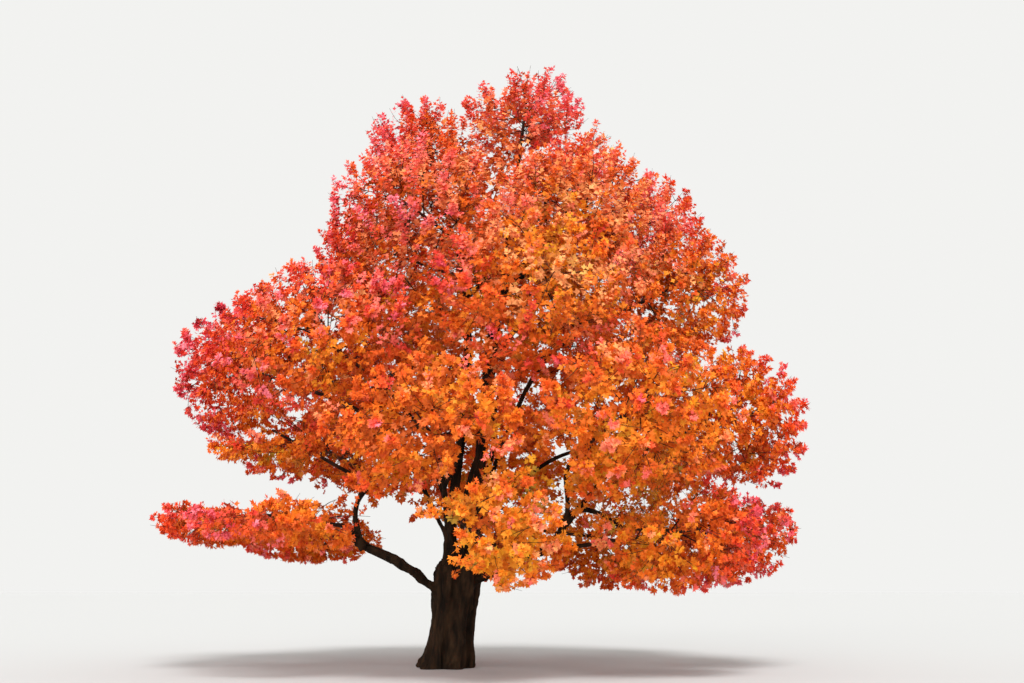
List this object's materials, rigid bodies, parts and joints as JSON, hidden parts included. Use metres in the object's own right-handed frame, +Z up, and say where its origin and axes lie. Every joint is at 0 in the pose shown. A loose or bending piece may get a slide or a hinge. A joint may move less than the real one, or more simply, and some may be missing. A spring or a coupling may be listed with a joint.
{
  "type": "open-grown maple tree in autumn leaf",
  "caption": "Large open-grown maple in red and orange autumn leaf: a short trunk that forks low, spreading boughs and tiers of leafy masses that make a broad, uneven dome.",
  "frame": {"origin": "middle of the flat cut under the trunk, at ground level", "axes": "+Z up, +X to the right of the tree's best side, -Y towards the viewer"},
  "size_m": [12.8273, 10.9513, 12.3238],
  "materials": {
    "bark": "rough, dark brown, ridged along the limbs",
    "leaves_crimson": "matt leaves, crimson to red-orange",
    "leaves_orange": "matt leaves, red-orange to amber",
    "leaves_gold": "matt leaves, amber to gold with a few olive"
  },
  "bodies": {
    "root": {"trunk": "bark", "bough_lower_1": "bark", "bough_lower_2": "bark", "bough_lower_3": "bark", "bough_lower_4": "bark", "bough_lower_5": "bark", "bough_lower_6": "bark", "bough_lower_7": "bark", "bough_middle_1": "bark", "bough_middle_2": "bark", "bough_middle_3": "bark", "bough_middle_4": "bark", "bough_middle_5": "bark", "bough_middle_6": "bark", "bough_shoulder_1": "bark", "bough_shoulder_2": "bark", "bough_shoulder_3": "bark", "bough_shoulder_4": "bark", "bough_shoulder_5": "bark", "bough_skirt_1": "bark", "bough_skirt_2": "bark", "bough_skirt_3": "bark", "bough_skirt_4": "bark", "bough_skirt_5": "bark", "bough_skirt_6": "bark", "bough_skirt_7": "bark", "bough_skirt_8": "bark", "bough_top_1": "bark", "bough_upper_1": "bark", "bough_upper_2": "bark", "foliage_lower_1": "leaves_orange", "foliage_lower_2": "leaves_orange", "foliage_lower_3": "leaves_orange", "foliage_lower_4": "leaves_orange", "foliage_lower_5": "leaves_orange", "foliage_lower_6": "leaves_orange", "foliage_lower_7": "leaves_orange", "foliage_middle_1": "leaves_orange", "foliage_middle_2": "leaves_orange", "foliage_middle_3": "leaves_orange", "foliage_middle_4": "leaves_orange", "foliage_middle_5": "leaves_orange", "foliage_middle_6": "leaves_orange", "foliage_shoulder_1": "leaves_crimson", "foliage_shoulder_2": "leaves_crimson", "foliage_shoulder_3": "leaves_crimson", "foliage_shoulder_4": "leaves_crimson", "foliage_shoulder_5": "leaves_crimson", "foliage_skirt_1": "leaves_gold", "foliage_skirt_2": "leaves_gold", "foliage_skirt_3": "leaves_gold", "foliage_skirt_4": "leaves_gold", "foliage_skirt_5": "leaves_gold", "foliage_skirt_6": "leaves_gold", "foliage_skirt_7": "leaves_gold", "foliage_skirt_8": "leaves_gold", "foliage_top_1": "leaves_crimson", "foliage_upper_1": "leaves_crimson", "foliage_upper_2": "leaves_crimson"}
  },
  "joints": []
}
